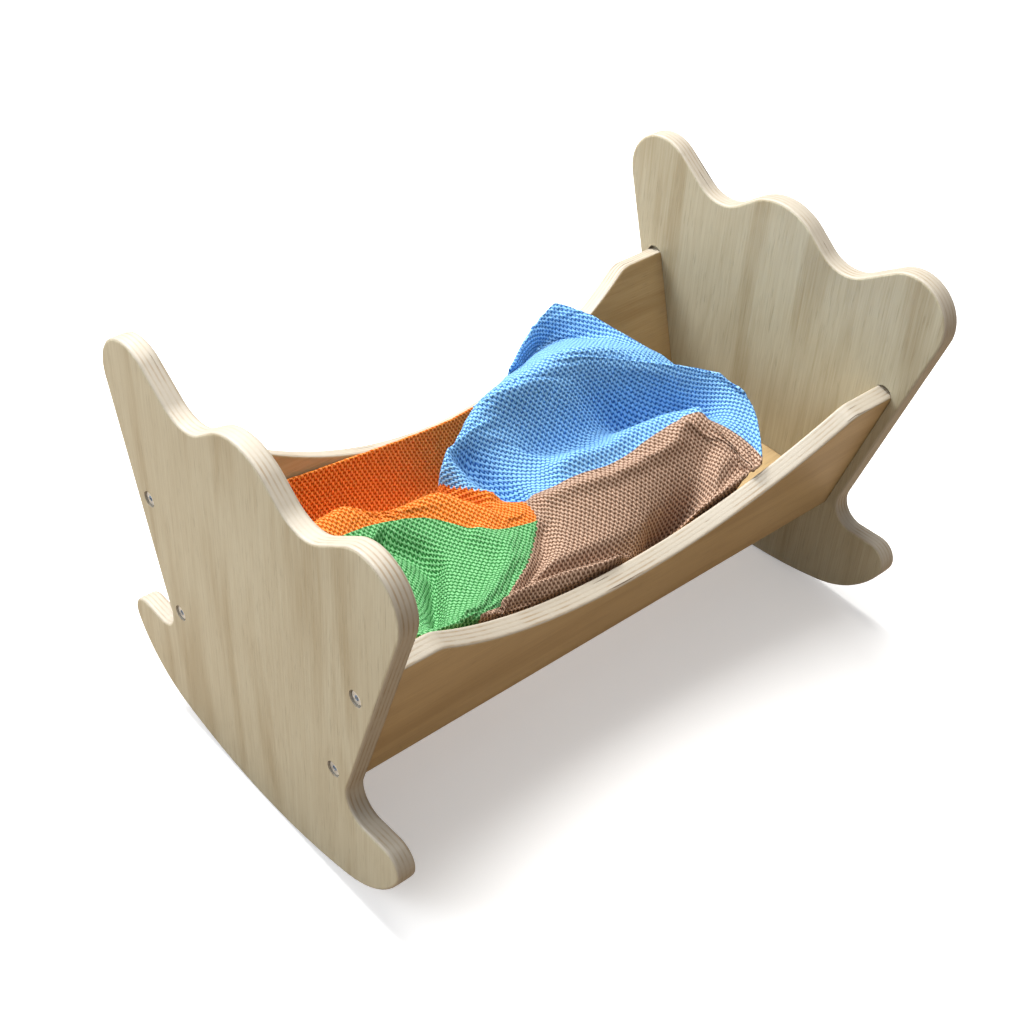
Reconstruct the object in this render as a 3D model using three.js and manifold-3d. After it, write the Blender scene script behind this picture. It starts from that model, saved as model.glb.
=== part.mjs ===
// Doll's cradle. Two shaped plywood end panels are also its rockers. Two leaning side
// panels and a base sit in grooves milled in them, eight connector screws hold the box
// together, and a knitted blanket lies over the foot end of the bed.
//
// Millimetres. +Z is up and +Y points from the foot end to the head end. The origin is on
// the floor, under the middle of the cradle.

import * as THREE from 'three';
import { mergeVertices } from 'three/addons/utils/BufferGeometryUtils.js';
import Module from 'manifold-3d';

const wasm = await Module();
wasm.setup();

// ---------------------------------------------------------------- driving dimensions

const LENGTH = 500; // over the outer faces of the end panels
const PLY = 15; // thickness of the end and side panels
const BASE_PLY = 9; // thickness of the base
const EDGE_ROUND = 2; // rounding of the panels' edges
const GAP = 0.3; // clearance between pieces that touch
const ARC_ERROR = 0.06; // how far a facet may stray from its true arc
const ROUND_STEPS = 3; // facets across a rounded edge

// Circles that an end panel's right half runs round, from bottom centre to top centre, each
// as the X and Z of its centre and its radius. A negative radius is a hollow.
const ROCKER = { x: 0, z: 400, r: 400 };
const HEEL_RADIUS = 87;
const TIP = { x: 144.5, z: 66.5, r: 16 };
const NOTCH = { x: 123, z: 99.5, r: -18 };
const EAR = { x: 126.5, z: 287.5, r: 34 };
const VALLEY = { x: 64, z: 326.5, r: -33.5 };
const CROWN = { x: 0, z: 271, r: 49.5 };

// A side panel leans outward. Heights on it are measured up its middle plane from the floor.
const LEAN = THREE.MathUtils.degToRad(16.5);
const SIDE_FOOT_X = 58.5; // where the middle plane would meet the floor
const SIDE_BOTTOM = 97;
const SIDE_SAG = 165.5; // lowest point of the top edge, at mid-length
const SIDE_SHOULDER = 230; // the flat ends of the top edge
const SAG_RADIUS = 322;
const SHOULDER_RADIUS = 20;

const GROOVE_DEPTH = 4; // grooves in the end panels' inner faces
const GROOVE_PLAY = 0.5; // a groove is this much wider than its panel, on each face
const GROOVE_END_DROP = 4; // a groove's round end is centred this far below the shoulder

const BASE_TOP = 108;

const SCREW_HEIGHTS = [116.5, 208]; // up the side panel's middle plane
const HEAD_RADIUS = 5.4;
const HEAD_HEIGHT = 3.2;
const HEAD_SUNK = 1.2; // top of a screw head below the panel's face
const SHANK_RADIUS = 3;
const SHANK_LENGTH = 46;
const POINT_LENGTH = 4;
const SOCKET_ACROSS_FLATS = 4;
const SOCKET_DEPTH = 2.4;
const COUNTERBORE_RADIUS = 6.2;
const ROUND_FACETS = 24;

// ------------------------------------------------------------------- derived sizes

const HALF_LENGTH = LENGTH / 2;
const INNER_HALF = HALF_LENGTH - PLY; // from mid-length to an end panel's inner face
const PANEL_HALF = INNER_HALF + GROOVE_DEPTH - GAP; // half length of the sides and base
const SIDE_FACE_OFFSET = PLY / (2 * Math.cos(LEAN)); // middle plane to a face, along X

// -------------------------------------------------------------------------- colours

const BIRCH = { color: 0xc9b287, roughness: 0.45, metalness: 0 };
const ZINC = { color: 0xb4b9bf, roughness: 0.3, metalness: 1 };
const KNIT = { color: 0x5f8fd0, roughness: 0.95, metalness: 0 };

const material = (look) => new THREE.MeshStandardMaterial(look);

// ------------------------------------------------------------- outlines and solids

const mirrored = (circle) => ({ ...circle, x: -circle.x });

// Where a belt leaves circle a and meets circle b, going round positive radii counter-clockwise.
function tangentPoints(a, b) {
  const away = new THREE.Vector2(b.x - a.x, b.z - a.z);
  const slope = THREE.MathUtils.clamp((b.r - a.r) / away.length(), -1, 1);
  away.normalize();
  const side = Math.sqrt(1 - slope * slope);
  const normal = new THREE.Vector2(
    slope * away.x - side * away.y,
    slope * away.y + side * away.x,
  );
  return [
    new THREE.Vector2(a.x - a.r * normal.x, a.z - a.r * normal.y),
    new THREE.Vector2(b.x - b.r * normal.x, b.z - b.r * normal.y),
  ];
}

// The part of a belt that lies on one circle, from its arrival to its departure point. An odd
// number of facets puts a flat one at the middle of each arc, which the cradle comes to rest on.
function arcPoints(circle, arrive, leave) {
  if (circle.r === 0) {
    return [arrive];
  }
  const radius = Math.abs(circle.r);
  const clockwise = circle.r < 0;
  const start = Math.atan2(arrive.y - circle.z, arrive.x - circle.x);
  const end = Math.atan2(leave.y - circle.z, leave.x - circle.x);
  const turn = THREE.MathUtils.euclideanModulo(clockwise ? start - end : end - start, 2 * Math.PI);
  const facetAngle = 2 * Math.acos(1 - ARC_ERROR / radius);
  const facets = 2 * Math.ceil(turn / facetAngle / 2) + 1;
  return new THREE.ArcCurve(circle.x, circle.z, radius, start, end, clockwise).getPoints(facets);
}

// A closed outline of arcs and straight lines round a ring of circles. A circle of radius 0
// is a plain corner.
function beltShape(circles) {
  const joins = circles.map((circle, i) => tangentPoints(circle, circles[(i + 1) % circles.length]));
  const points = [];
  circles.forEach((circle, i) => {
    const arrive = joins[(i + circles.length - 1) % circles.length][1];
    const leave = joins[i][0];
    for (const point of arcPoints(circle, arrive, leave)) {
      if (points.length === 0 || points[points.length - 1].distanceTo(point) > 1e-6) {
        points.push(point);
      }
    }
  });
  return new THREE.Shape(points);
}

// A plate with rounded edges, centred on the plane of its outline.
function roundedPlate(shape, thickness, round) {
  const geometry = new THREE.ExtrudeGeometry(shape, {
    depth: thickness - 2 * round,
    bevelEnabled: true,
    bevelThickness: round,
    bevelSize: round,
    bevelOffset: -round,
    bevelSegments: ROUND_STEPS,
  });
  return geometry.translate(0, 0, round - thickness / 2);
}

function toSolid(geometry) {
  const bare = geometry.clone();
  bare.deleteAttribute('normal');
  bare.deleteAttribute('uv');
  const merged = mergeVertices(bare);
  return new wasm.Manifold(
    new wasm.Mesh({
      numProp: 3,
      vertProperties: merged.attributes.position.array,
      triVerts: new Uint32Array(merged.index.array),
    }),
  );
}

function toGeometry(solid) {
  const mesh = solid.getMesh();
  const geometry = new THREE.BufferGeometry();
  geometry.setAttribute('position', new THREE.BufferAttribute(mesh.vertProperties, mesh.numProp));
  geometry.setIndex(new THREE.BufferAttribute(mesh.triVerts, 1));
  geometry.computeVertexNormals();
  return geometry;
}

const cut = (geometry, cutters) =>
  toGeometry(cutters.reduce((solid, cutter) => solid.subtract(toSolid(cutter)), toSolid(geometry)));

// A round bar along Y from y0 to y1, through (x, z).
function barAlongY(radius, x, z, y0, y1) {
  const bar = new THREE.CylinderGeometry(radius, radius, y1 - y0, ROUND_FACETS);
  return bar.translate(x, (y0 + y1) / 2, z);
}

const piece = (name, geometry, look) => {
  const mesh = new THREE.Mesh(geometry, material(look));
  mesh.name = name;
  return mesh;
};

// ----------------------------------------------------------------------- end panels
// Drawn for the foot end. The head end is the same panel turned half round.

// The circle that blends the rocker into its tip touches both from inside.
function heelCircle() {
  const fromRocker = ROCKER.r - HEEL_RADIUS;
  const fromTip = HEEL_RADIUS - TIP.r;
  const away = new THREE.Vector2(TIP.x - ROCKER.x, TIP.z - ROCKER.z);
  const distance = away.length();
  const along = (fromRocker ** 2 - fromTip ** 2 + distance ** 2) / (2 * distance);
  const across = Math.sqrt(fromRocker ** 2 - along ** 2);
  away.normalize();
  return {
    x: ROCKER.x + along * away.x + across * away.y,
    z: ROCKER.z + along * away.y - across * away.x,
    r: HEEL_RADIUS,
  };
}

function endPanelShape() {
  const rightHalf = [heelCircle(), TIP, NOTCH, EAR, VALLEY];
  const leftHalf = rightHalf.map(mirrored).reverse();
  return beltShape([ROCKER, ...rightHalf, CROWN, ...leftHalf]);
}

// A point up the middle plane of the right side panel, in the XZ plane.
const upSide = (height) =>
  new THREE.Vector2(SIDE_FOOT_X + height * Math.sin(LEAN), height * Math.cos(LEAN));

// A plate that reaches the groove's floor from beyond the inner face, for a slot with round ends.
function grooveCutter(start, end, width) {
  const radius = width / 2;
  const along = end.clone().sub(start);
  const slot = new THREE.Shape();
  slot.absarc(along.length(), 0, radius, -Math.PI / 2, Math.PI / 2, false);
  slot.absarc(0, 0, radius, Math.PI / 2, (3 * Math.PI) / 2, false);
  const plate = new THREE.ExtrudeGeometry(slot, {
    depth: 2 * GROOVE_DEPTH,
    bevelEnabled: false,
    curveSegments: ROUND_FACETS / 4,
  });
  plate.rotateZ(along.angle());
  plate.translate(start.x, start.y, -GROOVE_DEPTH);
  plate.rotateX(Math.PI / 2);
  return plate.translate(0, -INNER_HALF, 0);
}

function sideGroove(sign) {
  const bottom = upSide(SIDE_BOTTOM + GROOVE_END_DROP);
  const top = upSide(SIDE_SHOULDER - GROOVE_END_DROP);
  bottom.x *= sign;
  top.x *= sign;
  return grooveCutter(bottom, top, PLY + 2 * GROOVE_PLAY);
}

// The base's groove runs into the side grooves at both ends.
function baseGroove() {
  const middle = BASE_TOP - BASE_PLY / 2;
  const reach = SIDE_FOOT_X + middle * Math.tan(LEAN);
  const start = new THREE.Vector2(-reach, middle);
  const end = new THREE.Vector2(reach, middle);
  return grooveCutter(start, end, BASE_PLY + 2 * GROOVE_PLAY);
}

function screwPlaces() {
  return SCREW_HEIGHTS.flatMap((height) => {
    const place = upSide(height);
    return [place, new THREE.Vector2(-place.x, place.y)];
  });
}

function endPanelGeometry() {
  const plate = roundedPlate(endPanelShape(), PLY, EDGE_ROUND);
  plate.rotateX(Math.PI / 2);
  plate.translate(0, PLY / 2 - HALF_LENGTH, 0);
  const recess = HEAD_SUNK + HEAD_HEIGHT + GAP;
  const holes = screwPlaces().flatMap(({ x, y: z }) => [
    barAlongY(SHANK_RADIUS + GAP, x, z, -HALF_LENGTH - PLY, -INNER_HALF),
    barAlongY(COUNTERBORE_RADIUS, x, z, -HALF_LENGTH - PLY, recess - HALF_LENGTH),
  ]);
  return cut(plate, [sideGroove(1), sideGroove(-1), baseGroove(), ...holes]);
}

// ---------------------------------------------------------------------- side panels
// Drawn flat, with X along the cradle's length and Y up the panel's middle plane.

function sidePanelShape() {
  const shoulderHeight = SIDE_SHOULDER - SHOULDER_RADIUS;
  const drop = SIDE_SAG + SAG_RADIUS - shoulderHeight;
  const shoulder = {
    x: Math.sqrt((SAG_RADIUS + SHOULDER_RADIUS) ** 2 - drop ** 2),
    z: shoulderHeight,
    r: SHOULDER_RADIUS,
  };
  const lowerCorner = { x: PANEL_HALF, z: SIDE_BOTTOM, r: 0 };
  const upperCorner = { x: PANEL_HALF, z: SIDE_SHOULDER, r: 0 };
  const sag = { x: 0, z: SIDE_SAG + SAG_RADIUS, r: -SAG_RADIUS };
  return beltShape([
    lowerCorner,
    upperCorner,
    shoulder,
    sag,
    mirrored(shoulder),
    mirrored(upperCorner),
    mirrored(lowerCorner),
  ]);
}

function sidePanelGeometry() {
  const plate = roundedPlate(sidePanelShape(), PLY, EDGE_ROUND);
  const mouth = PANEL_HALF + PLY;
  const floor = HALF_LENGTH - HEAD_SUNK - HEAD_HEIGHT - SHANK_LENGTH - GAP;
  const bores = SCREW_HEIGHTS.flatMap((height) =>
    [-1, 1].map((sign) => {
      const bore = new THREE.CylinderGeometry(
        SHANK_RADIUS + GAP,
        SHANK_RADIUS + GAP,
        mouth - floor,
        ROUND_FACETS,
      );
      return bore.rotateZ(Math.PI / 2).translate((sign * (mouth + floor)) / 2, height, 0);
    }),
  );
  return cut(plate, bores);
}

// Stands the flat panel on its lower edge, leaning out to +X.
function sideStand() {
  const stand = new THREE.Group();
  const alongLength = new THREE.Vector3(0, 1, 0);
  const upPanel = new THREE.Vector3(Math.sin(LEAN), 0, Math.cos(LEAN));
  const outward = new THREE.Vector3().crossVectors(alongLength, upPanel);
  const basis = new THREE.Matrix4().makeBasis(alongLength, upPanel, outward);
  stand.quaternion.setFromRotationMatrix(basis);
  stand.position.x = SIDE_FOOT_X;
  return stand;
}

// ----------------------------------------------------------------------------- base

// Half the width between the side panels' inner faces at height z, less a gap.
const halfBedWidth = (z) => SIDE_FOOT_X + z * Math.tan(LEAN) - SIDE_FACE_OFFSET - GAP;

function baseGeometry() {
  const bottom = BASE_TOP - BASE_PLY;
  const section = new THREE.Shape([
    new THREE.Vector2(-halfBedWidth(bottom), bottom),
    new THREE.Vector2(halfBedWidth(bottom), bottom),
    new THREE.Vector2(halfBedWidth(BASE_TOP), BASE_TOP),
    new THREE.Vector2(-halfBedWidth(BASE_TOP), BASE_TOP),
  ]);
  const board = new THREE.ExtrudeGeometry(section, { depth: 2 * PANEL_HALF, bevelEnabled: false });
  return board.translate(0, 0, -PANEL_HALF).rotateX(Math.PI / 2);
}

// --------------------------------------------------------------------------- screws

// Revolved about Y, with the head's top at 0 and the point towards +Y.
function screwGeometry() {
  const chamfer = 0.5;
  const pointRadius = 0.8;
  const profile = [
    [0, 0],
    [HEAD_RADIUS - chamfer, 0],
    [HEAD_RADIUS, chamfer],
    [HEAD_RADIUS, HEAD_HEIGHT],
    [SHANK_RADIUS, HEAD_HEIGHT],
    [SHANK_RADIUS, HEAD_HEIGHT + SHANK_LENGTH - POINT_LENGTH],
    [pointRadius, HEAD_HEIGHT + SHANK_LENGTH],
    [0, HEAD_HEIGHT + SHANK_LENGTH],
  ].map(([radius, along]) => new THREE.Vector2(radius, along));
  const body = new THREE.LatheGeometry(profile, ROUND_FACETS);
  const socketRadius = SOCKET_ACROSS_FLATS / Math.sqrt(3);
  const socket = new THREE.CylinderGeometry(socketRadius, socketRadius, 2 * SOCKET_DEPTH, 6);
  return cut(body, [socket]);
}

// -------------------------------------------------------------------------- blanket
// A mound that fills the bed from the foot panel to a curved edge short of the head end.

const BLANKET_CLEARANCE = 1.5; // to the panels round it
const BLANKET_TOP = 182; // height above the floor between its humps and hollows
const BLANKET_HEAD_CORNERS = 112; // Y of its head edge at the side panels
const BLANKET_BULGE = 55; // how much nearer the head panel that edge comes between them
const BLANKET_BULGE_X = 25;
const BLANKET_BULGE_REACH = 60;

// Humps, and hollows of negative height, each fading out over its reach.
const BLANKET_HUMPS = [
  { x: -75, y: -100, reach: 42, height: -30 },
  { x: -80, y: -45, reach: 32, height: -15 },
  { x: -95, y: 0, reach: 30, height: -25 },
  { x: -90, y: -190, reach: 40, height: -15 },
  { x: -52, y: 0, reach: 32, height: 24 },
  { x: -62, y: 85, reach: 48, height: 42 },
  { x: -20, y: 120, reach: 50, height: 13 },
  { x: 50, y: 125, reach: 42, height: 14 },
  { x: 85, y: 10, reach: 45, height: -28 },
];

function blanketTop(x, y) {
  const rises = BLANKET_HUMPS.map(
    (hump) => hump.height * Math.exp(-((x - hump.x) ** 2 + (y - hump.y) ** 2) / hump.reach ** 2),
  );
  return rises.reduce((total, rise) => total + rise, BLANKET_TOP);
}

function blanketHeadEnd(x) {
  const bulge = Math.exp(-((x - BLANKET_BULGE_X) ** 2) / BLANKET_BULGE_REACH ** 2);
  return BLANKET_HEAD_CORNERS + BLANKET_BULGE * bulge;
}

function blanketGeometry() {
  const block = new THREE.BoxGeometry(1, 1, 1, 16, 26, 1);
  const position = block.attributes.position;
  const footEnd = BLANKET_CLEARANCE - INNER_HALF;
  const bottom = BASE_TOP + BLANKET_CLEARANCE;
  const widthAt = (z) => 2 * (halfBedWidth(z) - BLANKET_CLEARANCE);
  for (let i = 0; i < position.count; i += 1) {
    const across = position.getX(i);
    const along = position.getY(i) + 0.5;
    const isTop = position.getZ(i) > 0;
    const x = across * widthAt(BLANKET_TOP);
    const y = THREE.MathUtils.lerp(footEnd, blanketHeadEnd(x), along);
    const z = isTop ? blanketTop(x, y) : bottom;
    position.setXYZ(i, across * widthAt(z), y, z);
  }
  return toGeometry(toSolid(block));
}

// ------------------------------------------------------------------------- assembly

const cradle = new THREE.Group();

const ENDS = [
  { name: 'foot', turn: 0 },
  { name: 'head', turn: Math.PI },
];

const endPanel = endPanelGeometry();
const screw = screwGeometry();

for (const { name, turn } of ENDS) {
  const end = new THREE.Group();
  end.rotation.z = turn;
  end.add(piece(`${name}_panel`, endPanel, BIRCH));
  SCREW_HEIGHTS.forEach((height, level) => {
    const place = upSide(height);
    for (const sign of [-1, 1]) {
      const isRight = (sign > 0) === (turn === 0);
      const label = `screw_${name}_${isRight ? 'right' : 'left'}_${level ? 'upper' : 'lower'}`;
      const fastener = piece(label, screw, ZINC);
      fastener.position.set(sign * place.x, HEAD_SUNK - HALF_LENGTH, place.y);
      end.add(fastener);
    }
  });
  cradle.add(end);
}

const sidePanel = sidePanelGeometry();
const SIDES = [
  { name: 'right_side_panel', turn: 0 },
  { name: 'left_side_panel', turn: Math.PI },
];

for (const { name, turn } of SIDES) {
  const side = new THREE.Group();
  side.rotation.z = turn;
  const stand = sideStand();
  stand.add(piece(name, sidePanel, BIRCH));
  side.add(stand);
  cradle.add(side);
}

cradle.add(piece('base_panel', baseGeometry(), BIRCH));
cradle.add(piece('blanket', blanketGeometry(), KNIT));

export default cradle;
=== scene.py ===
"""Looks for the doll's rocking cradle: birch plywood, zinc screws and a knitted blanket.

Metres, in the CAD frame: +Z up, +Y from the foot panel to the head panel, origin on the floor
under the middle of the cradle.
"""

import math

import bpy
import numpy as np
from mathutils import Matrix, Vector


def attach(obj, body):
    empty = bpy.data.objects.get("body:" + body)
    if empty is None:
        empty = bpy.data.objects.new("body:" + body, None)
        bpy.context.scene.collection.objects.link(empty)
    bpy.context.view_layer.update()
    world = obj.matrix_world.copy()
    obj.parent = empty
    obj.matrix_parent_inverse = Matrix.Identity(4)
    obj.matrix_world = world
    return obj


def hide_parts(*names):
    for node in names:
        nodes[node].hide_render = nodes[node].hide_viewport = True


MM = 0.001

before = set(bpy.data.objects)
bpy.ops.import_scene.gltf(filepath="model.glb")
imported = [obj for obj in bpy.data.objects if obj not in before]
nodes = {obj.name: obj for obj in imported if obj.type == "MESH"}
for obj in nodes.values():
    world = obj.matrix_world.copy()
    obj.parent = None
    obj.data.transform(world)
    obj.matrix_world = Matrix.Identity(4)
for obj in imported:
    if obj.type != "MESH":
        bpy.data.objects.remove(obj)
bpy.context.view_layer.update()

bpy.context.scene.view_settings.view_transform = "Standard"


# ------------------------------------------------------------------ shader helpers


class Shader:
    """Builds one material's node tree with short calls."""

    def __init__(self, name):
        self.material = bpy.data.materials.new(name)
        self.material.use_nodes = True
        self.nodes = self.material.node_tree.nodes
        self.links = self.material.node_tree.links
        self.surface = self.nodes["Principled BSDF"]

    def feed(self, socket, value):
        """Joins an output to an input, or sets the input to a plain value."""
        if isinstance(value, bpy.types.NodeSocket):
            self.links.new(value, socket)
        elif socket.type == "RGBA" and len(value) == 3:
            socket.default_value = (*value, 1.0)
        else:
            socket.default_value = value

    def set(self, **inputs):
        for name, value in inputs.items():
            self.feed(self.surface.inputs[name.replace("_", " ")], value)

    def math(self, operation, a, b=0.0, c=0.0, clamp=False):
        node = self.nodes.new("ShaderNodeMath")
        node.operation = operation
        node.use_clamp = clamp
        for socket, value in zip(node.inputs, (a, b, c)):
            self.feed(socket, value)
        return node.outputs[0]

    def vector(self, operation, a, b):
        node = self.nodes.new("ShaderNodeVectorMath")
        node.operation = operation
        self.feed(node.inputs[0], a)
        self.feed(node.inputs[1], b)
        return node.outputs["Value" if operation == "DOT_PRODUCT" else "Vector"]

    def combine(self, x, y, z):
        node = self.nodes.new("ShaderNodeCombineXYZ")
        for socket, value in zip(node.inputs, (x, y, z)):
            self.feed(socket, value)
        return node.outputs[0]

    def split(self, vector):
        node = self.nodes.new("ShaderNodeSeparateXYZ")
        self.feed(node.inputs[0], vector)
        return node.outputs

    def noise(self, vector, scale, detail=2.0, rough=0.5, distortion=0.0):
        node = self.nodes.new("ShaderNodeTexNoise")
        self.feed(node.inputs["Vector"], vector)
        node.inputs["Scale"].default_value = scale
        node.inputs["Detail"].default_value = detail
        node.inputs["Roughness"].default_value = rough
        node.inputs["Distortion"].default_value = distortion
        return node.outputs["Fac"]

    def ramp(self, factor, *stops):
        """A colour ramp through (place, colour) stops."""
        node = self.nodes.new("ShaderNodeValToRGB")
        elements = node.color_ramp.elements
        while len(elements) < len(stops):
            elements.new(1.0)
        for element, (place, colour) in zip(elements, stops):
            element.position = place
            element.color = (*colour, 1.0)
        self.feed(node.inputs[0], factor)
        return node.outputs[0]

    def step(self, value, low, high):
        """0 below low, 1 above high, smooth between. High may be the lower one."""
        node = self.nodes.new("ShaderNodeMapRange")
        node.interpolation_type = "SMOOTHSTEP"
        self.feed(node.inputs["Value"], value)
        node.inputs["From Min"].default_value = low
        node.inputs["From Max"].default_value = high
        return node.outputs["Result"]

    def mix(self, factor, a, b):
        node = self.nodes.new("ShaderNodeMix")
        node.data_type = "RGBA"
        self.feed(node.inputs[0], factor)
        self.feed(node.inputs[6], a)
        self.feed(node.inputs[7], b)
        return node.outputs[2]

    def bump(self, height, distance, strength=1.0, normal=None):
        node = self.nodes.new("ShaderNodeBump")
        node.inputs["Strength"].default_value = strength
        node.inputs["Distance"].default_value = distance
        self.feed(node.inputs["Height"], height)
        if normal is not None:
            self.feed(node.inputs["Normal"], normal)
        return node.outputs[0]

    def uv_map(self, name):
        node = self.nodes.new("ShaderNodeUVMap")
        node.uv_map = name
        return node.outputs[0]

    def place(self):
        """The shaded point in the object's own space, which is the CAD frame."""
        return self.nodes.new("ShaderNodeTexCoord").outputs["Object"]

    def facing(self):
        return self.nodes.new("ShaderNodeNewGeometry").outputs["Normal"]


def grey(value):
    return (value, value, value)


# ------------------------------------------------------------------------ plywood

PLY_LAYERS = 9
FACE_LIGHT = (0.50, 0.465, 0.345)
FACE_DARK = (0.36, 0.305, 0.195)
SIDE_LIGHT = (0.58, 0.425, 0.225)
SIDE_DARK = (0.43, 0.29, 0.135)
LAYER_LIGHT = (0.47, 0.42, 0.34)
LAYER_DARK = (0.31, 0.215, 0.12)
VOID_SHADE = (0.05, 0.028, 0.015)
# Factors on the veneer colours of the side and base panels. The left side panel's 0.80 is painted shade:
# its inner face, the one in view, faces away from the key light.
BOARD_TONES_AND_SHADE = {"left_side_panel": 0.80, "right_side_panel": 1.0, "base_panel": 0.95}


def thickness_axis(node):
    """A panel's thickness direction, and where its two faces lie along it."""
    mesh = node.data
    count = len(mesh.polygons)
    normals = np.zeros(count * 3)
    areas = np.zeros(count)
    mesh.polygons.foreach_get("normal", normals)
    mesh.polygons.foreach_get("area", areas)
    normals = normals.reshape(-1, 3)
    tensor = (normals * areas[:, None]).T @ normals
    axis = np.linalg.eigh(tensor)[1][:, -1]
    places = np.array([vertex.co for vertex in mesh.vertices]) @ axis
    return axis, places.min(), places.max()


def plywood(name, node, grain, light, dark, seed):
    """Clear-lacquered birch plywood: veneer on the faces, its layers on the edges.

    grain is the direction of the face veneer's grain, in the CAD frame.
    """
    shader = Shader(name)
    axis, low, high = thickness_axis(node)
    across = np.cross(axis, grain)
    point = shader.place()
    along = shader.vector("DOT_PRODUCT", point, tuple(grain))
    side = shader.vector("DOT_PRODUCT", point, tuple(across))
    depth = shader.math("SUBTRACT", shader.vector("DOT_PRODUCT", point, tuple(axis)), float(low))
    share = shader.math("DIVIDE", depth, float(high - low))

    # Face veneer: broad wandering figure, fine fibre lines and short dark pores.
    shifted = shader.combine(shader.math("ADD", side, seed), along, depth)
    stretched = shader.vector("MULTIPLY", shifted, (1.0, 0.10, 1.0))
    figure = shader.noise(stretched, 26.0, 3.0, 0.55, 0.6)
    rings = shader.math("MULTIPLY", figure, 15.0)
    rings = shader.math("SINE", rings)
    rings = shader.math("MULTIPLY_ADD", rings, 0.5, 0.5)
    fibre = shader.noise(shader.vector("MULTIPLY", shifted, (1.0, 0.02, 1.0)), 900.0, 2.0, 0.6)
    pore_place = shader.vector("MULTIPLY", shifted, (1.0, 0.045, 1.0))
    pores = shader.step(shader.noise(pore_place, 1500.0, 0.0), 0.68, 0.78)
    broad = shader.noise(shifted, 7.0, 2.0, 0.5)
    tone = shader.math("MULTIPLY_ADD", rings, 0.22, shader.math("MULTIPLY", fibre, 0.48))
    tone = shader.math("ADD", tone, shader.math("MULTIPLY", broad, 0.36))
    veneer = shader.ramp(tone, (0.36, dark), (0.72, light))
    veneer = shader.mix(shader.math("MULTIPLY", pores, 0.22), veneer, tuple(0.45 * c for c in dark))

    # Edge: light long-grain layers between darker end-grain ones, with a few open voids painted near-black
    # as the shade inside them.
    wobble = shader.noise(point, 35.0, 2.0)
    layer = shader.math("MULTIPLY", share, float(PLY_LAYERS))
    layer = shader.math("ADD", layer, shader.math("MULTIPLY_ADD", wobble, 0.24, -0.12))
    ridge = shader.math("PINGPONG", layer, 1.0)
    is_dark = shader.step(ridge, 0.45, 0.85)
    wear = shader.step(shader.noise(point, 38.0, 3.0, 0.65), 0.38, 0.72)
    streak = shader.noise(point, 420.0, 2.0, 0.6)
    dark_share = shader.math("MULTIPLY", is_dark, shader.math("MULTIPLY_ADD", wear, 0.75, 0.15))
    layers = shader.mix(dark_share, LAYER_LIGHT, LAYER_DARK)
    layers = shader.mix(shader.math("MULTIPLY", streak, 0.35), layers, tuple(0.7 * c for c in LAYER_LIGHT))
    void_place = shader.combine(shader.math("MULTIPLY", layer, 0.02), 0.0, 0.0)
    void_place = shader.vector("ADD", shader.vector("MULTIPLY", point, (0.45, 0.45, 0.45)), void_place)
    voids = shader.step(shader.noise(void_place, 75.0, 0.0), 0.775, 0.80)
    voids = shader.math("MULTIPLY", voids, shader.step(is_dark, 0.6, 0.9))
    # Painted shade: the voids take a near-black colour.
    layers = shader.mix(voids, layers, VOID_SHADE)

    turn = shader.math("ABSOLUTE", shader.vector("DOT_PRODUCT", shader.facing(), tuple(axis)))
    is_face = shader.step(turn, 0.72, 0.92)
    colour = shader.mix(is_face, layers, veneer)

    relief = shader.math("MULTIPLY", fibre, 0.6)
    relief = shader.math("SUBTRACT", relief, shader.math("MULTIPLY", pores, 0.8))
    edge_relief = shader.math("MULTIPLY_ADD", streak, 0.8, shader.math("MULTIPLY", is_dark, -0.5))
    edge_relief = shader.math("SUBTRACT", edge_relief, shader.math("MULTIPLY", voids, 6.0))
    keep_edge = shader.math("SUBTRACT", 1.0, is_face)
    height = shader.math("ADD", shader.math("MULTIPLY", relief, is_face),
                         shader.math("MULTIPLY", edge_relief, keep_edge))
    roughness = shader.math("MULTIPLY_ADD", fibre, 0.12, 0.33)
    shader.set(Base_Color=colour, Roughness=shader.math("MULTIPLY_ADD", keep_edge, 0.15, roughness),
               Normal=shader.bump(height, 0.00012, 0.6), Coat_Weight=0.12, Coat_Roughness=0.28)
    return shader.material


# --------------------------------------------------------------------------- zinc


def zinc(name):
    """Bright zinc plate with fine turning marks and a faint bluish passivation."""
    shader = Shader(name)
    point = shader.place()
    cloud = shader.noise(point, 300.0, 3.0, 0.6)
    colour = shader.ramp(cloud, (0.35, (0.62, 0.70, 0.80)), (0.65, (0.84, 0.88, 0.92)))
    scratches = shader.noise(shader.vector("MULTIPLY", point, (1.0, 1.0, 0.15)), 2600.0, 2.0, 0.6)
    shader.set(Base_Color=colour, Metallic=1.0,
               Roughness=shader.math("MULTIPLY_ADD", cloud, 0.20, 0.30),
               Normal=shader.bump(scratches, 0.00004, 0.5))
    return shader.material


# ---------------------------------------------------------------------- woodwork

SMOOTH_BELOW = 38.0  # degrees between two faces that are shaded as one curve


def finish_edges(node):
    """Shades the flat faces flat and the faceted curves and rounded edges smooth."""
    weld = node.modifiers.new("weld", "WELD")
    weld.merge_threshold = 0.01 * MM
    split = node.modifiers.new("split", "EDGE_SPLIT")
    split.split_angle = math.radians(SMOOTH_BELOW)
    split.use_edge_sharp = False
    node.modifiers.new("even", "WEIGHTED_NORMAL").weight = 90
    for polygon in node.data.polygons:
        polygon.use_smooth = True
    if node.data.has_custom_normals:
        node.data.attributes.remove(node.data.attributes["custom_normal"])


def dress(node, material):
    node.data.materials.clear()
    node.data.materials.append(material)


UP = (0.0, 0.0, 1.0)
LENGTHWISE = (0.0, 1.0, 0.0)

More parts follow.
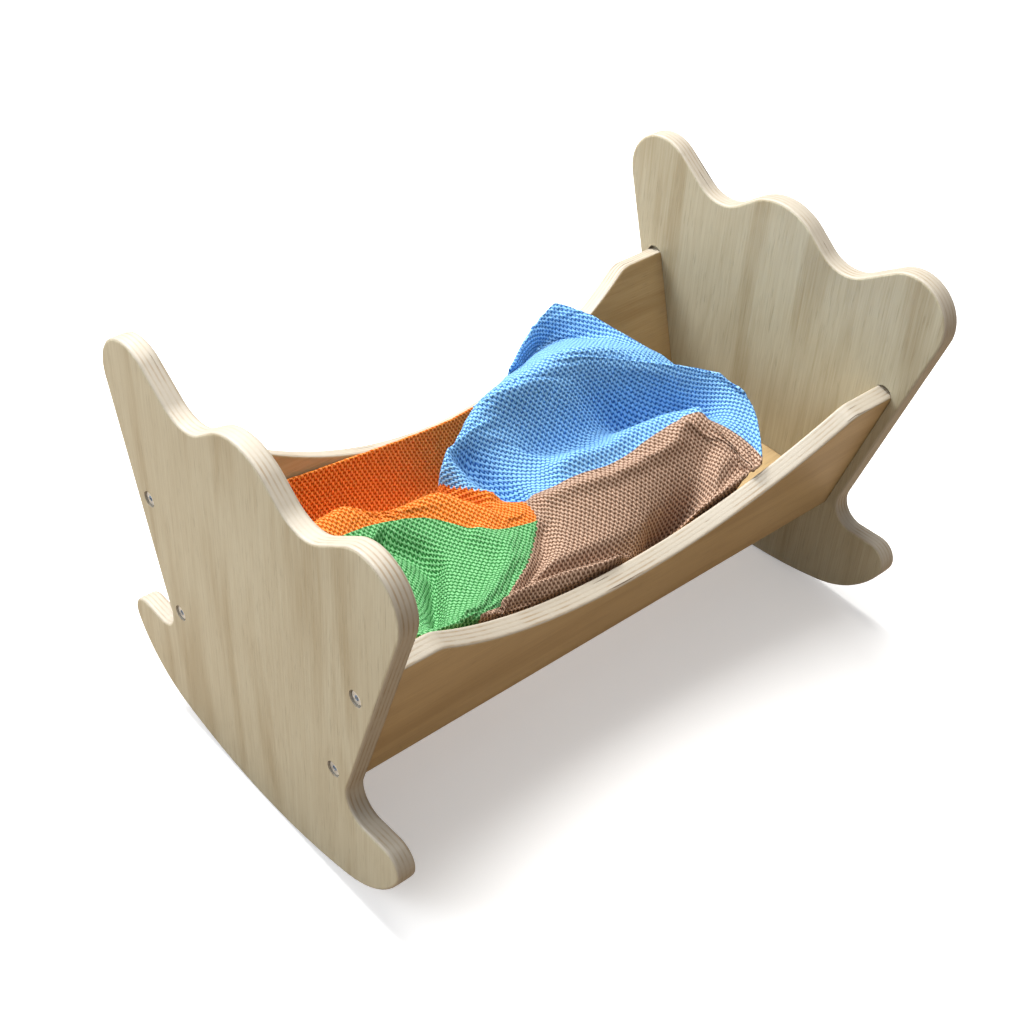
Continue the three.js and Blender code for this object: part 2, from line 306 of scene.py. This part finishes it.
for number, name in enumerate(("foot_panel", "head_panel")):
    dress(nodes[name], plywood(name + "_ply", nodes[name], UP, FACE_LIGHT, FACE_DARK, 3.7 * number))
for number, (name, tone) in enumerate(BOARD_TONES_AND_SHADE.items()):
    light = tuple(tone * c for c in SIDE_LIGHT)
    dark = tuple(tone * c for c in SIDE_DARK)
    dress(nodes[name], plywood(name + "_ply", nodes[name], LENGTHWISE, light, dark, 1.9 * number + 0.8))

zinc_plate = zinc("zinc_plate")
for name, node in nodes.items():
    if name.startswith("screw"):
        dress(node, zinc_plate)
    if name != "blanket":
        finish_edges(node)

# ----------------------------------------------------------------------- blanket
# The flat sheet has u across the cradle and v along it, in millimetres, from the point where the
# blue, tan and orange blocks meet.

SHEET_LEFT = -225
SHEET_RIGHT = 190
SHEET_FOOT = -235
SHEET_HEAD = 230
SHEET_SPACING = 3.6  # between neighbouring points of the sheet
PATTERN_SPACING = 7.0  # the same on the copy that is laid flat for the stitches
SHEET_THICKNESS = 2.0 * MM
GREEN_EDGE = 22  # u of the seam between the orange and green blocks

PANELS = ("foot_panel", "head_panel", "left_side_panel", "right_side_panel", "base_panel")
BED_MIDDLE = np.array((0.0, 0.0, 0.2))
LANDMARK_GAP = 4.0 * MM  # from a panel's face to a landmark of the drape
SHEET_GAP = 3.0 * MM  # from a panel's face to the sheet
DRAPE_STIFFNESS = 60.0  # how far the smooth surface may pass its landmarks by

SPARE_CLOTH = 0.012  # how much larger the sheet is than its place, as a share
SETTLE_FRAMES = 14

# Distance between stitches across the sheet, and between rows along it.
WALE = 5.0 * MM
COURSE = 2.1 * MM

# Blue, tan, orange and green cotton on the loops, and the same yarns much darker in the holes: painted
# shade.
YARN_LIGHT = ((0.25, 0.57, 0.97), (0.51, 0.33, 0.23), (0.95, 0.265, 0.028), (0.165, 0.50, 0.19))
YARN_HOLE_SHADE = ((0.020, 0.09, 0.36), (0.095, 0.04, 0.02), (0.46, 0.06, 0.004), (0.008, 0.13, 0.02))

# Where landmarks of the sheet come to lie: u, v, then X, Y and Z in millimetres.
DRAPE = [
    # seam between the blue and tan blocks, from the middle to the right side panel
    (0, 0, 17, -29, 177), (0, 40, 25, 0, 182), (0, 85, 33, 32, 186), (0, 130, 35, 75, 193),
    (0, 165, 37, 110, 201), (0, 185, 45, 125, 204), (0, 205, 64, 131, 199),
    (0, 220, 90, 136, 193), (0, 230, 106, 128, 194),
    # seam between orange and blue, out to the rim
    (-22, 0, 6, -40, 177), (-48, 0, -10, -55, 177), (-72, 0, -27, -62, 179),
    # seam between green and tan
    (22, 0, 40, -34, 176), (42, 0, 55, -51, 176), (85, 0, 79, -85, 178), (125, 0, 97, -124, 186),
    (145, 0, 106, -141, 193),
    # seam between orange and green
    (22, -30, 35, -55, 177), (22, -62, 26, -77, 178), (22, -95, 5, -90, 180),
    (22, -120, -8, -102, 181), (22, -150, -17, -120, 181), (22, -180, -24, -141, 180),
    # crest of the orange ridge in front of the valley
    (2, -28, 32, -44, 180), (-4, -62, 11, -63, 185), (-6, -98, -14, -80, 189),
    (-4, -135, -20, -109, 185), (-2, -160, -31, -126, 184), (-4, -185, -44, -140, 187),
    (-4, -210, -44, -160, 184),
    # crest of the blue rim that hangs over the valley, up to the light ridge
    (-84, 14, -34, -63, 186), (-92, 45, -47, -42, 192), (-98, 75, -59, -20, 198),
    (-103, 105, -65, -1, 204), (-110, 130, -67, 22, 209), (-120, 155, -68, 50, 215),
    (-128, 180, -67, 75, 220),
    # crease inside the rim
    (-18, 12, 2, -27, 174), (-45, 20, -21, -31, 178), (-64, 32, -40, -36, 185),
    # body of the blue block, and the hollow beside its seam with tan
    (-45, 70, -27, 4, 198), (-75, 80, -47, -8, 205), (-60, 115, -39, 23, 214),
    (-80, 145, -41, 54, 221), (-50, 165, -26, 88, 219), (-20, 50, 6, 17, 184),
    (-22, 95, 9, 54, 185), (-22, 135, 9, 100, 190), (-24, 165, 19, 137, 197),
    # head edge, from the right to the raised left corner
    (-14, 230, 63, 162, 201), (-30, 230, 44, 160, 212), (-48, 230, 27, 158, 215),
    (-65, 230, 15, 149, 214), (-84, 230, 1, 146, 204), (-105, 230, -21, 143, 208),
    (-128, 230, -40, 139, 212), (-150, 230, -59, 133, 217), (-178, 230, -83, 125, 222),
    (-205, 230, -98, 116, 225), (-225, 230, -106, 108, 227),
    # left edge of the blue block
    (-225, 205, -100, 87, 222), (-225, 175, -92, 68, 218), (-225, 145, -77, 41, 211),
    # tan block: ridge below the seam, body, and the roll along the right side panel
    (25, 40, 43, -5, 182), (25, 85, 49, 42, 184), (25, 130, 50, 84, 188), (25, 165, 48, 108, 196),
    (60, 40, 71, -12, 172), (55, 85, 66, 42, 174), (55, 130, 66, 94, 176), (50, 165, 67, 114, 188),
    (40, 195, 80, 124, 190), (105, 30, 94, -110, 183), (100, 50, 90, -57, 170),
    (96, 75, 95, -5, 161),
    # along the top of the right side panel
    (110, 10, 104, -114, 180), (112, 50, 100, -66, 166), (105, 85, 98, -5, 163),
    (100, 130, 82, 38, 130), (95, 165, 100, 72, 171), (85, 195, 103, 98, 178),
    (45, 222, 105, 120, 188), (145, -60, 110, -175, 204), (145, -110, 114, -200, 214),
    (145, -200, 116, -228, 216),
    # tucked down the right side panel
    (190, -200, 98, -225, 150), (190, -100, 96, -170, 140), (190, 0, 92, -120, 125),
    (185, 60, 84, -65, 114), (180, 110, 84, 0, 114), (175, 160, 84, 50, 114),
    (165, 200, 85, 90, 116), (150, 232, 86, 112, 118),
    # foot edge
    (-225, -235, -106, -229, 186), (-110, -235, -75, -229, 128), (-60, -235, -62, -229, 142),
    (-4, -240, -45, -229, 176), (22, -235, -22, -229, 174), (80, -235, 50, -229, 190),
    # left edge of the orange block, along the top of the left side panel
    (-225, -190, -104, -185, 184), (-225, -150, -103, -150, 178), (-222, -110, -101, -110, 172),
    (-222, -70, -101, -68, 168), (-225, -30, -102, -9, 166), (-225, -5, -100, 18, 168),
    (-225, 45, -100, 40, 174),
    # down the left side panel and along the bottom of the valley
    (-180, -150, -94, -150, 146), (-180, -70, -92, -70, 140), (-180, 0, -90, 5, 136),
    (-182, 60, -96, 44, 150), (-120, -190, -80, -190, 122), (-120, -130, -72, -125, 120),
    (-120, -60, -70, -60, 118), (-130, 0, -72, -18, 120), (-140, 55, -82, 30, 140),
    (-60, -190, -62, -175, 140), (-60, -130, -50, -112, 142), (-60, -62, -36, -78, 146),
    (-160, 110, -92, 62, 180), (-170, 150, -94, 80, 196), (-160, 190, -84, 100, 208),
    # green block, up to the foot panel
    (60, -30, 62, -95, 178), (60, -70, 45, -115, 176), (60, -110, 25, -135, 172),
    (60, -150, 5, -165, 178), (100, -60, 85, -150, 184), (100, -110, 66, -175, 178),
    (100, -170, 60, -205, 180),
]

# Ridges and hollows laid over the drape: height and half width in millimetres, and the line
# each follows on the flat sheet.
FOLDS = [
    # blue block: crest behind the rim, the flap beyond it, and the soft folds in front
    (8, 18, [(-74, 104), (-86, 128), (-94, 150), (-96, 175), (-96, 195), (-98, 215)]),
    (-6, 12, [(-205, 155), (-190, 180), (-172, 200), (-155, 213)]),
    (5, 8, [(-63, 108), (-64, 122), (-58, 130), (-48, 126)]),
    (-10, 20, [(-42, 80), (-40, 105), (-36, 125)]),
    (-24, 16, [(-35, 145), (-26, 165), (-20, 190)]),
    (10, 8, [(-12, 45), (-13, 93), (-13, 130), (-12, 159), (-8, 180)]),
    (-9, 9, [(-34, 60), (-36, 109), (-38, 144)]),
    (-16, 7, [(-61, 28), (-39, 16), (-9, 8)]),
    (7, 7, [(-85, 32), (-69, 16), (-53, 4), (-30, -1)]),
    # tan block: ridge along its seam, the crease beside the green block, creases at the right
    (5, 8, [(12, 20), (13, 48), (18, 77), (19, 110), (28, 142), (18, 168)]),
    (-8, 7, [(35, 8), (55, 10), (80, 14)]),
    (-5, 9, [(20, 180), (43, 167), (54, 154)]),
    (-8, 9, [(52, 207), (83, 176), (78, 146)]),
    (-26, 12, [(84, 140), (88, 119), (90, 104), (95, 97)]),
    (20, 6, [(94, 126), (102, 119)]),
    # its roll along the right side panel
    (6, 7, [(110, 24), (105, 34), (102, 50), (100, 80)]),
    (-9, 7, [(90, 22), (86, 34), (84, 50), (86, 78)]),
    # green block: the pocket against the foot panel
    (9, 12, [(55, -150), (64, -125), (78, -110), (100, -100)]),
    (-13, 7, [(40, -150), (47, -110), (58, -90), (85, -78), (115, -70)]),
    (5, 9, [(26, -60), (40, -25), (60, -15), (90, -22), (120, -35)]),
    # orange block
    (-4, 8, [(11, -158), (0, -155)]),
    (-3, 6, [(-67, -4), (-37, -10)]),
]


def line_distance(points, line):
    """How far each point of the flat sheet is from a line of straight pieces."""
    nearest = np.full(len(points), np.inf)
    for start, end in zip(line[:-1], line[1:]):
        start, along = np.array(start, float), np.subtract(end, start).astype(float)
        share = np.clip((points - start) @ along / (along @ along), 0.0, 1.0)
        gap = np.linalg.norm(points - start - share[:, None] * along, axis=1)
        nearest = np.minimum(nearest, gap)
    return nearest


def fold(points, sheet):
    """Lifts the draped sheet along its ridges and lowers it along its hollows."""
    folded = points.copy()
    for rise, half_width, line in FOLDS:
        folded[:, 2] += rise * MM * np.exp(-(line_distance(sheet, line) / half_width) ** 2)
    return folded


def thin_plate(centres, values, stiffness):
    """The smoothest surface near the given values at the given centres, as a function."""

    def kernel(a, b):
        distance = np.linalg.norm(a[:, None] - b[None], axis=2)
        return distance**2 * np.log(distance + 1e-9)

    count = len(centres)
    size = count + 3
    plane = np.column_stack([np.ones(count), centres])
    system = np.zeros((size, size))
    system[:count, :count] = kernel(centres, centres) + stiffness * np.eye(count)
    system[:count, count:] = plane
    system[count:, :count] = plane.T
    weights = np.linalg.solve(system, np.vstack([values, np.zeros((3, values.shape[1]))]))

    def surface(points):
        flat = np.column_stack([np.ones(len(points)), points])
        return kernel(points, centres) @ weights[:count] + flat @ weights[count:]

    return surface


def sheet_grid(spacing):
    """The flat sheet's u and v at the points of a square grid, in rows along u."""
    columns = round((SHEET_RIGHT - SHEET_LEFT) / spacing) + 1
    rows = round((SHEET_HEAD - SHEET_FOOT) / spacing) + 1
    u, v = np.meshgrid(
        np.linspace(SHEET_LEFT, SHEET_RIGHT, columns), np.linspace(SHEET_FOOT, SHEET_HEAD, rows)
    )
    return np.column_stack([u.ravel(), v.ravel()]), columns, rows


def sheet_mesh(name, points, columns, rows, maps):
    """A grid of squares with named UV maps."""
    corner = np.arange((rows - 1) * columns).reshape(rows - 1, columns)[:, :-1].ravel()
    faces = np.column_stack([corner, corner + 1, corner + columns + 1, corner + columns])
    mesh = bpy.data.meshes.new(name)
    mesh.from_pydata(points.tolist(), [], faces.tolist())
    loops = np.zeros(len(mesh.loops), int)
    mesh.loops.foreach_get("vertex_index", loops)
    for map_name, places in maps.items():
        mesh.uv_layers.new(name=map_name).data.foreach_set("uv", places[loops].ravel())
    mesh.polygons.foreach_set("use_smooth", [True] * len(mesh.polygons))
    return mesh


def add(name, mesh):
    piece = bpy.data.objects.new(name, mesh)
    bpy.context.scene.collection.objects.link(piece)
    return piece


def stitch_map(drape, sheet):
    """Like the flat sheet's u and v, but laid flat from the drape with the least stretch.

    The stitches follow this map, so they are all one size however the sheet is draped.
    """
    coarse, columns, rows = sheet_grid(PATTERN_SPACING)
    points = drape(coarse)
    unit = (coarse - coarse.min(axis=0)) / np.ptp(coarse, axis=0).max()
    flat = add("flat_pattern", sheet_mesh("flat_pattern", points, columns, rows, {"flat": unit}))
    bpy.context.view_layer.objects.active = flat
    flat.select_set(True)
    bpy.ops.object.mode_set(mode="EDIT")
    bpy.ops.mesh.select_all(action="SELECT")
    bpy.ops.uv.unwrap(method="MINIMUM_STRETCH")
    bpy.ops.object.mode_set(mode="OBJECT")
    mesh = flat.data
    places = np.zeros(2 * len(mesh.loops))
    corners = np.zeros(len(mesh.loops), int)
    mesh.uv_layers["flat"].data.foreach_get("uv", places)
    mesh.loops.foreach_get("vertex_index", corners)
    laid = np.zeros((len(coarse), 2))
    laid[corners] = places.reshape(-1, 2)
    bpy.data.objects.remove(flat)

    # Real size, turned to lie as the sheet does, with the middle of the sheet at the origin.
    grid = points.reshape(rows, columns, 3)
    flat_grid = laid.reshape(rows, columns, 2)
    real = np.linalg.norm(np.diff(grid, axis=0), axis=2).sum()
    drawn = np.linalg.norm(np.diff(flat_grid, axis=0), axis=2).sum()
    laid = (laid - laid.mean(axis=0)) * real / drawn
    turn, _, other = np.linalg.svd(laid.T @ (coarse - coarse.mean(axis=0)))
    flat_grid = (laid @ turn @ other).reshape(rows, columns, 2)

    column = (sheet[:, 0] - SHEET_LEFT) / (SHEET_RIGHT - SHEET_LEFT) * (columns - 1)
    row = (sheet[:, 1] - SHEET_FOOT) / (SHEET_HEAD - SHEET_FOOT) * (rows - 1)
    left = np.minimum(column.astype(int), columns - 2)
    low = np.minimum(row.astype(int), rows - 2)
    x = (column - left)[:, None]
    y = (row - low)[:, None]
    near = flat_grid[low, left] * (1 - x) + flat_grid[low, left + 1] * x
    far = flat_grid[low + 1, left] * (1 - x) + flat_grid[low + 1, left + 1] * x
    return near * (1 - y) + far * y


def knit(name):
    """Knitted cotton in four colour blocks, which follow the flat sheet's u and v."""
    shader = Shader(name)
    u, v, _ = shader.split(shader.uv_map("sheet"))
    flat = shader.uv_map("stitches")
    across, along, _ = shader.split(flat)

    # Staggered rows of loops, with a hole between each loop and the next, painted dark as shade.
    uneven = shader.noise(flat, 170.0, 2.0)
    course = shader.math("DIVIDE", along, COURSE)
    course = shader.math("ADD", course, shader.math("MULTIPLY_ADD", uneven, 0.8, -0.4))
    row = shader.math("MULTIPLY", course, math.pi)
    wale = shader.math("DIVIDE", across, WALE)
    wale = shader.math("ADD", wale, shader.math("MULTIPLY_ADD", uneven, 0.4, -0.2))
    slant = shader.math("MULTIPLY", shader.math("SINE", shader.math("MULTIPLY", row, 2.0)), 0.09)
    loop = shader.math("MULTIPLY", shader.math("ADD", wale, slant), 2 * math.pi)
    crossing = shader.math("ADD", loop, row)
    zigzag = shader.math("MULTIPLY", shader.math("SINE", crossing), 0.7)
    slanted = shader.math("ADD", shader.math("SUBTRACT", loop, row), zigzag)
    lattice = shader.math("MULTIPLY_ADD", shader.math("COSINE", crossing), 0.3,
                          shader.math("COSINE", slanted))
    hole = shader.step(lattice, 0.0, 1.0)
    crown = shader.step(lattice, 0.0, -1.1)
    ply = shader.math("SINE", shader.math("MULTIPLY_ADD", course, 2.6 * math.pi, loop))
    height = shader.math("SUBTRACT", shader.math("MULTIPLY", crown, 0.45), hole)
    height = shader.math("MULTIPLY_ADD", ply, 0.07, height)

    # Colour blocks. Where two meet across the courses, their stitches interlock.
    teeth = shader.math("MULTIPLY_ADD", shader.math("COSINE", loop), 1.0 * MM, v)
    is_head = shader.math("GREATER_THAN", teeth, 0.0)
    right_of_tan = shader.math("GREATER_THAN", u, 0.0)
    right_of_green = shader.math("GREATER_THAN", u, GREEN_EDGE * MM)
    colours = []
    for blue, tan, orange, green in (YARN_LIGHT, YARN_HOLE_SHADE):
        head = shader.mix(right_of_tan, blue, tan)
        foot = shader.mix(right_of_green, orange, green)
        colours.append(shader.mix(is_head, foot, head))
    light, dark = colours
    heather = shader.noise(flat, 1400.0, 2.0, 0.7)
    # Painted highlight: the crowns of the loops are mixed part way to white, in patches.
    crown_highlight = shader.math("MULTIPLY_ADD", heather, 0.5, -0.12, clamp=True)
    light = shader.mix(shader.math("MULTIPLY", crown_highlight, crown), light, shader.mix(0.55, light, grey(1.0)))
    # Painted shade: the holes take the dark yarn colours.
    colour = shader.mix(shader.math("MULTIPLY", hole, 0.9), light, dark)
    fuzz = shader.bump(heather, 0.0002, 0.4)
    shader.set(Base_Color=colour, Roughness=0.95, Sheen_Weight=0.12, Sheen_Roughness=0.4,
               Specular_IOR_Level=0.1, Normal=shader.bump(height, 0.0009, 1.0, fuzz))
    shader.feed(shader.surface.inputs["Sheen Tint"], light)
    return shader.material


def keep_inside(points, clearance):
    """Brings points that are in or beyond a panel's inner face back in front of it."""
    for panel in PANELS:
        axis, low, high = thickness_axis(nodes[panel])
        if BED_MIDDLE @ axis < low:
            axis, high = -axis, -low
        short = np.maximum(high + clearance - points @ axis, 0.0)
        points = points + short[:, None] * axis
    return points


def settle(piece, columns, rows):
    """Lets the sheet, a little too large for its place, settle by cloth simulation.

    Its side and foot edges stay where they are, and the rest is drawn back softly to where it
    was laid.
    """
    hold = piece.vertex_groups.new(name="hold")
    edge = [
        number for number in range(columns * rows)
        if number % columns in (0, columns - 1) or number < columns
    ]
    hold.add(range(columns * rows), 0.25, "REPLACE")
    hold.add(edge, 1.0, "REPLACE")
    cloth = piece.modifiers.new("cloth", "CLOTH")
    settings = cloth.settings
    settings.vertex_group_mass = "hold"
    settings.pin_stiffness = 8
    settings.effector_weights.gravity = 0.5
    settings.quality = 6
    settings.mass = 0.1
    settings.tension_stiffness = 15
    settings.compression_stiffness = 15
    settings.shear_stiffness = 5
    settings.bending_stiffness = 12
    settings.shrink_min = -SPARE_CLOTH
    settings.air_damping = 2
    cloth.collision_settings.use_collision = False
    cloth.collision_settings.use_self_collision = True
    cloth.collision_settings.self_distance_min = 1.0 * MM
    cloth.point_cache.frame_end = SETTLE_FRAMES
    scene = bpy.context.scene
    for number in range(1, SETTLE_FRAMES + 1):
        scene.frame_set(number)
    relaxed = piece.evaluated_get(bpy.context.evaluated_depsgraph_get())
    places = np.zeros(3 * columns * rows)
    relaxed.data.vertices.foreach_get("co", places)
    piece.modifiers.remove(cloth)
    scene.frame_set(1)
    return places.reshape(-1, 3)


def blanket():
    """One knitted sheet that stands for the CAD blanket and rides on its body."""
    drape = np.array(DRAPE, float)
    places = keep_inside(drape[:, 2:] * MM, LANDMARK_GAP)
    surface = thin_plate(drape[:, :2], places, DRAPE_STIFFNESS)
    sheet, columns, rows = sheet_grid(SHEET_SPACING)

    def laid(grid):
        return keep_inside(fold(surface(grid), grid), SHEET_GAP)

    points = laid(sheet)
    maps = {"sheet": sheet * MM, "stitches": stitch_map(laid, sheet)}
    piece = add("knitted_blanket", sheet_mesh("knitted_blanket", points, columns, rows, maps))
    points = keep_inside(settle(piece, columns, rows), SHEET_GAP)
    piece.data.vertices.foreach_set("co", points.ravel())
    piece.data.update()
    piece.data.materials.append(knit("knitted_cotton"))
    smooth = piece.modifiers.new("smooth", "SUBSURF")
    smooth.levels = smooth.render_levels = 1
    thick = piece.modifiers.new("thick", "SOLIDIFY")
    thick.thickness = SHEET_THICKNESS
    thick.offset = -1
    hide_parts("blanket")
    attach(piece, "blanket")


blanket()

# ---------------------------------------------------------------- floor and light


def floor():
    """Pale floor, whose bounced light is warm and dim, as off a wooden table."""
    shader = Shader("pale_floor")
    path = shader.nodes.new("ShaderNodeLightPath")
    grain = shader.noise(shader.place(), 3.0, 3.0)
    pale = shader.ramp(grain, (0.3, grey(0.90)), (0.7, grey(0.93)))
    colour = shader.mix(path.outputs["Is Camera Ray"], (0.40, 0.31, 0.22), pale)
    glow = shader.math("MULTIPLY", path.outputs["Is Camera Ray"], 0.30)
    shader.set(Base_Color=colour, Roughness=0.9, Specular_IOR_Level=0.1,
               Emission_Color=grey(1.0), Emission_Strength=glow)
    size = 6.0
    mesh = bpy.data.meshes.new("floor")
    corners = [(-size, -size, 0), (size, -size, 0), (size, size, 0), (-size, size, 0)]
    mesh.from_pydata(corners, [], [(0, 1, 2, 3)])
    mesh.materials.append(shader.material)
    add("floor", mesh)


def softbox(name, place, target, size, power, colour):
    light = bpy.data.lights.new(name, "AREA")
    light.shape = "RECTANGLE"
    light.size, light.size_y = size
    light.energy = power
    light.color = colour
    lamp = bpy.data.objects.new(name, light)
    lamp.location = place
    lamp.rotation_euler = (Vector(target) - Vector(place)).to_track_quat("-Z", "Y").to_euler()
    bpy.context.scene.collection.objects.link(lamp)


def sky(bright, dim, toward):
    """Soft light from all round, bright on one side and dim and warm on the other."""
    world = bpy.data.worlds.new("studio")
    world.use_nodes = True
    tree = world.node_tree
    background = tree.nodes["Background"]
    direction = tree.nodes.new("ShaderNodeTexCoord").outputs["Generated"]
    facing = tree.nodes.new("ShaderNodeVectorMath")
    facing.operation = "DOT_PRODUCT"
    tree.links.new(direction, facing.inputs[0])
    facing.inputs[1].default_value = Vector(toward).normalized()
    share = tree.nodes.new("ShaderNodeMapRange")
    share.inputs["From Min"].default_value = -0.8
    tree.links.new(facing.outputs["Value"], share.inputs["Value"])
    blend = tree.nodes.new("ShaderNodeMix")
    blend.data_type = "RGBA"
    tree.links.new(share.outputs["Result"], blend.inputs[0])
    blend.inputs[6].default_value = (*dim, 1.0)
    blend.inputs[7].default_value = (*bright, 1.0)
    tree.links.new(blend.outputs[2], background.inputs["Color"])
    bpy.context.scene.world = world


def camera():
    """Looks down on the foot end's right corner, with a slight roll, from 1.2 m away."""
    right = Vector((0.65606, 0.75256, 0.05690)).normalized()
    back = Vector((0.54540, -0.52487, 0.65349)).normalized()
    up = back.cross(right)
    lens = bpy.data.cameras.new("camera")
    lens.sensor_width = 36.0
    lens.lens = 56.79
    lens.shift_x = -0.0198
    lens.shift_y = 0.0176
    lens.clip_start = 0.05
    view = bpy.data.objects.new("camera", lens)
    place = Vector((0.66435, -0.63934, 0.91724))
    view.matrix_world = Matrix.Translation(place) @ Matrix((right, up, back)).transposed().to_4x4()
    bpy.context.scene.collection.objects.link(view)
    bpy.context.scene.camera = view


floor()
softbox("key", (-1.5, 0.0, 1.8), (0, 0, 0.1), (0.8, 0.8), 56.0, (1.0, 0.985, 0.96))
softbox("top", (-0.3, 0.1, 2.3), (0, 0, 0.1), (1.0, 1.0), 38.0, (1.0, 0.985, 0.96))
softbox("window", (-1.0, -1.7, 1.1), (-0.1, 0, 0.2), (1.0, 1.0), 20.0, (0.90, 0.95, 1.0))
sky((0.68, 0.71, 0.74), (0.17, 0.12, 0.075), (-0.6, -0.45, 0.6))
camera()
